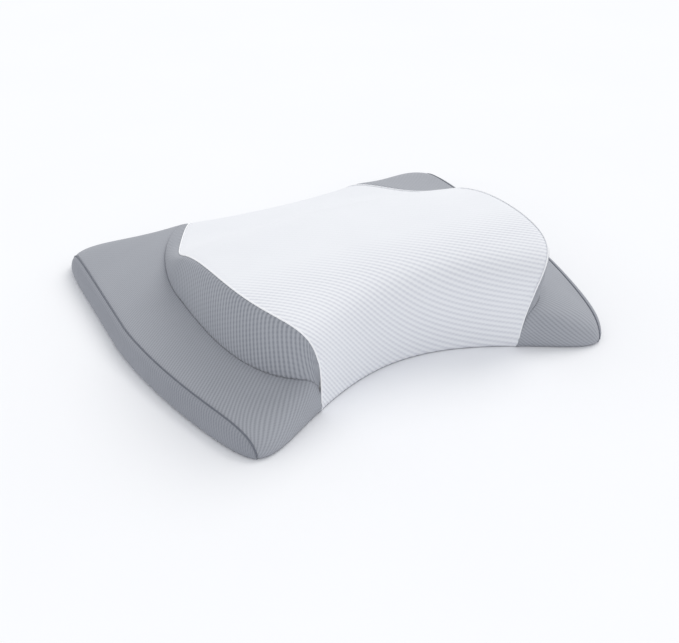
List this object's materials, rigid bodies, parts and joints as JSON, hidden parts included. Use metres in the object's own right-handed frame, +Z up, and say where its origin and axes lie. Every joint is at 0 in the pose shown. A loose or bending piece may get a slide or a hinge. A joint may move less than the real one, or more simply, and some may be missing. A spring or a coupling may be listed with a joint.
{
  "type": "bed pillow",
  "caption": "Butterfly-shaped cervical foam pillow with a raised white middle, low grey wings, a panelled knit cover and a zip in its back edge.",
  "frame": {"origin": "under the middle of the pillow, on the bed, at the centre of its outline", "axes": "+X along the pillow's length to the sleeper's left when lying face up, +Y towards the head of the bed and the low back edge, +Z up"},
  "size_m": [0.6, 0.5035, 0.1312],
  "materials": {
    "knit_white": "matt air-mesh knit, cool white",
    "knit_grey_light": "matt ribbed knit, cool mid grey",
    "knit_grey_dark": "matt ribbed knit, darker cool grey",
    "piping_white": "fine covered cord, white",
    "piping_grey": "fine covered cord, dark grey",
    "memory_foam": "open-cell viscoelastic foam, cream",
    "liner_jersey": "thin white jersey",
    "zip_tape": "woven polyester tape, pale grey",
    "zip_nylon": "nylon coil, pale grey",
    "zip_metal": "nickel-plated zinc, satin",
    "label_satin": "white satin tape, blank"
  },
  "bodies": {
    "pillow": {"foam_core": "memory_foam", "liner_upper": "liner_jersey", "liner_lower": "liner_jersey", "centre_panel": "knit_white", "left_wall_panel": "knit_grey_dark", "right_wall_panel": "knit_grey_dark", "left_wing_panel": "knit_grey_light", "right_wing_panel": "knit_grey_light", "left_end_gusset": "knit_grey_dark", "right_end_gusset": "knit_grey_dark", "base_panel": "knit_grey_dark", "left_crest_piping": "piping_white", "right_crest_piping": "piping_white", "left_end_piping": "piping_grey", "right_end_piping": "piping_grey", "zip_tape_upper": "zip_tape", "zip_tape_lower": "zip_tape", "zip_coil_upper": "zip_nylon", "zip_coil_lower": "zip_nylon", "zip_stop_closed": "zip_metal", "zip_stop_open": "zip_metal", "care_label": "label_satin"},
    "slider": {"zip_slider": "zip_metal"},
    "pull_tab": {"zip_pull_tab": "zip_metal"}
  },
  "joints": [
    {"name": "zip_slider_travel", "type": "hinge", "parent": "pillow", "child": "slider", "pos_m": [0, 0.76184, 0], "axis": [0, 0, 1], "range_deg": [0, 18.4]},
    {"name": "pull_tab_flip", "type": "hinge", "parent": "slider", "child": "pull_tab", "pos_m": [-0.08953, 0.20976, 0.01507], "axis": [-0.0035, -0.0218, 0.9998], "range_deg": [0, 170]}
  ]
}
